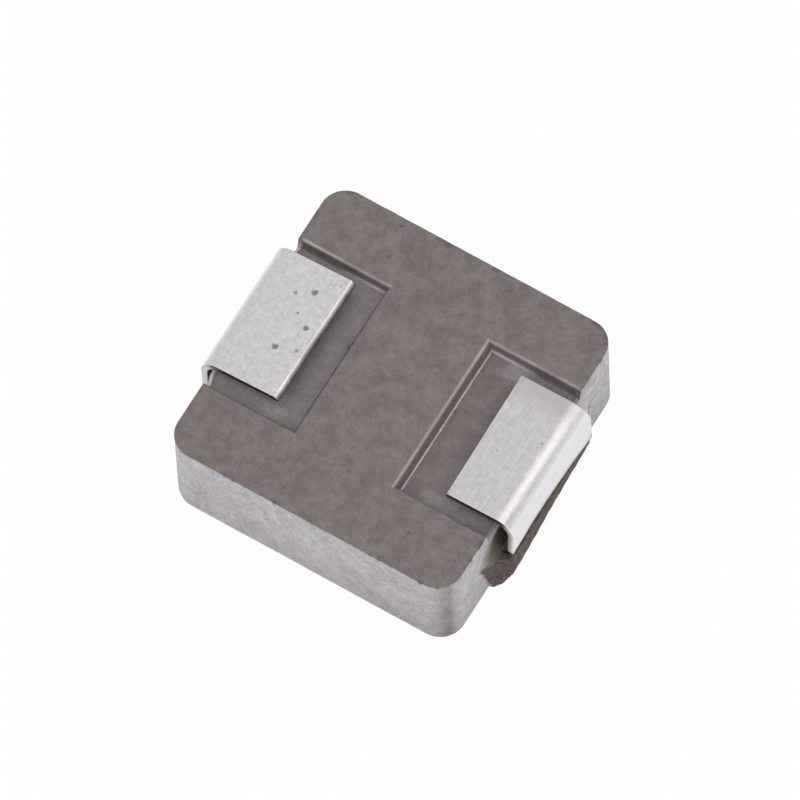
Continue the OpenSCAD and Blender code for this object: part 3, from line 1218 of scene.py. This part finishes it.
@dataclass
class Coil:
    """Two layers of enamelled wire wound from the middle outwards, with its two tails."""

    finish: bpy.types.Material
    centre: tuple[float, float]
    wire_d: float = 0.44
    turn_gap: float = 0.02
    inner_r: float = 0.68
    upper_turns: float = 2.75
    lower_turns: float = 2.25
    cross_turn: float = 90.0
    weld_x: float = 2.8
    weld_rise: float = 0.305
    tail_r: float = 1.2
    tail_past: float = 0.8
    sides: int = 20

    def __post_init__(self) -> None:
        """Reads the coil's middle height from the solid."""
        low, high = node_box("coil")
        self.mid_z = float(low[2] + high[2]) / 2
        self.pitch = self.wire_d + self.turn_gap

    def build(self) -> bpy.types.Object:
        """Builds the wire by carrying a circle along the wound line."""
        path = self._wound_line()
        ahead = np.gradient(path, axis=0)
        ahead /= np.linalg.norm(ahead, axis=1, keepdims=True)
        across = np.cross(ahead, [0.0, 0.0, 1.0])
        across /= np.linalg.norm(across, axis=1, keepdims=True)
        up = np.cross(across, ahead)
        turn = np.linspace(0.0, 2 * math.pi, self.sides, endpoint=False)[None, :, None]
        radius = self.wire_d / 2
        circle = across[:, None] * np.cos(turn) + up[:, None] * np.sin(turn)
        rings = path[:, None] + radius * circle
        points = np.vstack([rings.reshape(-1, 3), path[:1], path[-1:]])
        points += [self.centre[0], self.centre[1], 0.0]
        number = np.arange(len(path) * self.sides).reshape(-1, self.sides)
        start, end = (np.full(self.sides, number.size + k) for k in (0, 1))
        first = np.stack([start, np.roll(number[0], -1), number[0]], -1)
        last = np.stack([end, number[-1], np.roll(number[-1], -1)], -1)
        faces = [ring_quads(number)[:, ::-1], first, last]
        return make_piece("wound_coil", points, faces, self.finish)

    def _wound_line(self) -> np.ndarray:
        """Middle line of the wire, from one tail's end to the other's.

        Formula: the radius grows by one pitch a turn, and the height moves by half a
        pitch to its layer over the first quarter turn, as a smooth step.
        """
        angle = np.linspace(-360.0 * self.lower_turns, 360.0 * self.upper_turns, 480)
        radius = self.inner_r + self.wire_d / 2 + self.pitch * np.abs(angle) / 360.0
        lift = np.sign(angle) * smooth_step(np.abs(angle) / self.cross_turn)
        spiral = np.stack(
            [
                radius * np.cos(np.radians(angle)),
                radius * np.sin(np.radians(angle)),
                self.mid_z + lift * self.pitch / 2,
            ],
            axis=-1,
        )
        upper = self._tail(-spiral[-1, 1], spiral[-1, 2], self.mid_z + self.weld_rise)
        lower = self._tail(-spiral[0, 1], spiral[0, 2], self.mid_z - self.weld_rise)
        lower = lower[::-1] * [-1.0, 1.0, 1.0]
        return np.vstack([lower, spiral, upper])

    def _tail(self, exit_r: float, from_z: float, to_z: float) -> np.ndarray:
        """Tail on the right side: straight off the winding, a quarter round, and the weld."""
        turn_x, turn_y = self.weld_x - self.tail_r, self.tail_r - exit_r
        part = np.linspace(0.0, 1.0, 13)[1:-1]
        rise = from_z + (to_z - from_z) * smooth_step(part)
        straight = np.stack([turn_x * part, np.full_like(part, -exit_r), rise], axis=-1)
        turn = np.linspace(-math.pi / 2, 0.0, 17)
        arc = np.stack(
            [
                turn_x + self.tail_r * np.cos(turn),
                turn_y + self.tail_r * np.sin(turn),
                np.full_like(turn, to_z),
            ],
            axis=-1,
        )
        return np.vstack([straight, arc, [[self.weld_x, self.tail_past, to_z]]])


# ---- Studio ----


@dataclass(frozen=True)
class SoftLamp:
    """A round soft lamp: where it hangs, its size across, and its brightness beside white's 1."""

    name: str
    direction: tuple[float, float, float]
    distance: float
    size: float
    level: float


@dataclass
class Studio:
    """Plain pale floor, soft even light and the camera."""

    distance: float = 357.14
    azimuth: float = 0.5965
    elevation: float = 1.1595
    roll: float = -0.0591
    aim_right: float = 0.112
    aim_up: float = 0.766
    lens: float = 806.3
    sky: float = 0.65
    floor_size: float = 400.0
    floor_gap: float = 0.01
    seen_share: float = 0.945
    lamps: tuple[SoftLamp, ...] = (
        SoftLamp("key", (0.42, 0.33, 0.85), 90.0, 66.0, 1.05),
        SoftLamp("fill", (-0.2, -0.55, 0.8), 120.0, 90.0, 2.0),
        SoftLamp("side", (0.9, -0.3, 0.3), 120.0, 80.0, 0.85),
    )

    def build(self) -> None:
        """Sets up the world, the floor, the lamps, the camera and the view transform."""
        bpy.context.scene.view_settings.view_transform = "Standard"
        self._world()
        self._floor()
        for lamp in self.lamps:
            self._hang(lamp)
        self._camera()

    def _seen(self, tree: bpy.types.NodeTree) -> bpy.types.NodeSocket:
        """1 for a ray from the camera, off a glossy surface or through glass, and 0 otherwise."""
        path = add_node(tree, "ShaderNodeLightPath", {}, {})
        seen = path.outputs["Is Camera Ray"]
        for ray in ("Is Glossy Ray", "Is Transmission Ray"):
            seen = add_node(
                tree, "ShaderNodeMath", {"operation": "MAXIMUM"}, {0: seen, 1: path.outputs[ray]}
            ).outputs["Value"]
        return seen

    def _world(self) -> None:
        """White where it is seen, and an even sky a little below white for light."""
        world = bpy.data.worlds.new("even_sky")
        bpy.context.scene.world = world
        world.use_nodes = True
        tree = world.node_tree
        tree.nodes.clear()
        level = add_node(
            tree,
            "ShaderNodeMapRange",
            {},
            {"Value": self._seen(tree), "To Min": self.sky, "To Max": 1.0},
        ).outputs["Result"]
        sky = add_node(
            tree,
            "ShaderNodeBackground",
            {},
            {"Color": (1.0, 1.0, 1.0, 1.0), "Strength": level},
        )
        add_node(tree, "ShaderNodeOutputWorld", {}, {"Surface": sky.outputs["Background"]})

    def _floor(self) -> None:
        """White board under the part. Seen, it is nearly all even white, with a faint shadow."""
        half = self.floor_size / 2
        corners = np.array([[-half, -half], [half, -half], [half, half], [-half, half]])
        points = np.column_stack([corners, np.full(4, -self.floor_gap)])
        material, tree = new_material("white_card_matt")
        board = add_node(
            tree, "ShaderNodeBsdfDiffuse", {}, {"Color": (0.9, 0.9, 0.9, 1.0)}
        ).outputs["BSDF"]
        white = add_node(
            tree, "ShaderNodeEmission", {}, {"Color": (1.0, 1.0, 1.0, 1.0), "Strength": 1.0}
        ).outputs["Emission"]
        share = add_node(
            tree,
            "ShaderNodeMath",
            {"operation": "MULTIPLY"},
            {0: self._seen(tree), 1: self.seen_share},
        ).outputs["Value"]
        mixed = add_node(
            tree, "ShaderNodeMixShader", {}, {0: share, 1: board, 2: white}
        ).outputs["Shader"]
        add_node(tree, "ShaderNodeOutputMaterial", {}, {"Surface": mixed})
        floor = make_piece("floor", points, [np.array([[0, 1, 2, 3]])], material)

    def _hang(self, lamp: SoftLamp) -> None:
        """Hangs a lamp so that it faces the part."""
        disk = bpy.data.lights.new(lamp.name, "AREA")
        disk.shape = "DISK"
        disk.size = lamp.size * MM
        disk.energy = lamp.level * (math.pi * disk.size / 2) ** 2
        hung = bpy.data.objects.new(lamp.name, disk)
        direction = Vector(lamp.direction).normalized()
        hung.location = direction * lamp.distance * MM
        hung.rotation_euler = direction.to_track_quat("Z", "Y").to_euler()
        bpy.context.scene.collection.objects.link(hung)

    def _camera(self) -> None:
        """Long lens from above the near right corner."""
        az, el = self.azimuth, self.elevation
        back = Vector((math.sin(az) * math.cos(el), -math.cos(az) * math.cos(el), math.sin(el)))
        level = Vector((math.cos(az), math.sin(az), 0.0))
        upright = back.cross(level)
        right = math.cos(self.roll) * level + math.sin(self.roll) * upright
        up = math.cos(self.roll) * upright - math.sin(self.roll) * level
        lens = bpy.data.cameras.new("camera")
        lens.lens = self.lens
        lens.sensor_width = 36.0
        lens.clip_start = 0.01
        lens.clip_end = 10.0
        camera = bpy.data.objects.new("camera", lens)
        place = back * self.distance + right * self.aim_right + up * self.aim_up
        turn = Matrix((right, up, back)).transposed().to_4x4()
        camera.matrix_world = Matrix.Translation(place * MM) @ turn
        bpy.context.scene.collection.objects.link(camera)
        bpy.context.scene.camera = camera


# ---- Assembly ----


def dress(piece: bpy.types.Object, node: str) -> None:
    """Makes a piece ride on the part's one body, in the place of its solid.

    Args:
        piece: The new piece.
        node: The solid that it stands for.
    """
    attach(piece, "root")
    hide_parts(node)
    LOG.info("%s: %d faces", piece.name, len(piece.data.polygons))


def main() -> None:
    """Builds the studio, the body, the two terminals and the coil."""
    logging.basicConfig(level=logging.INFO)
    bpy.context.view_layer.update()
    Studio().build()
    body_low, body_high = node_box("body")
    strip_low, strip_high = node_box("terminal_right")
    centre = (
        float(body_low[0] + body_high[0]) / 2,
        float(strip_low[1] + strip_high[1]) / 2,
    )
    shoulder_z = float(strip_high[2])
    body = PressedBody(PressedPowder().build(), float(strip_low[2]), centre)
    dress(body.build(), "body")
    left = Terminal(
        side=Side.LEFT,
        finish=TinnedCopper("tinned_copper_strip_left", scratch=0.15, cloud=0.1).build(),
        centre=centre,
        shoulder_z=shoulder_z,
        fold=85.4,
        foot=0.035,
        wall=body.length / 2 + centre[0],
        twist=0.045,
        bevel=0.085,
        edge_dark=0.3,
        pits=(
            Pit(0.51, 0.898, 0.045),
            Pit(0.85, 0.709, 0.026, 0.8),
            Pit(0.57, 0.347, 0.026, 0.8),
            Pit(0.25, 0.122, 0.045),
            Pit(0.57, -0.508, 0.045),
            Pit(0.15, -0.401, 0.028, 0.7),
            Pit(0.84, 0.18, 0.022, 0.35),
            Pit(0.13, 1.269, 0.018, 0.5),
            Pit(0.33, 1.189, 0.02, 0.35),
            Pit(0.82, -1.3, 0.025, 0.35),
        ),
    )
    dress(left.build(), left.node)
    right = Terminal(
        side=Side.RIGHT,
        finish=TinnedCopper(
            "tinned_copper_strip_right", tin=("#B6B3B5", "#CCC9CB"), scratch=0.55
        ).build(),
        centre=centre,
        shoulder_z=shoulder_z,
        fold=92.0,
        foot=0.195,
        wall=body.length / 2 - centre[0],
        twist=0.035,
        skew=0.026,
        lean_in=0.005,
        bow=0.045,
        fan=0.02,
        edge_shine=0.6,
        dirt_and_shade=0.6,
        pits=(
            Pit(1.1, 0.402, 0.02, 0.7),
            Pit(0.4, -0.178, 0.02, 0.45),
            Pit(0.38, -0.339, 0.018, 0.4),
        ),
    )
    dress(right.build(), right.node)
    dress(Coil(EnamelledCopper().build(), centre).build(), "coil")


if __name__ == "__main__":
    main()
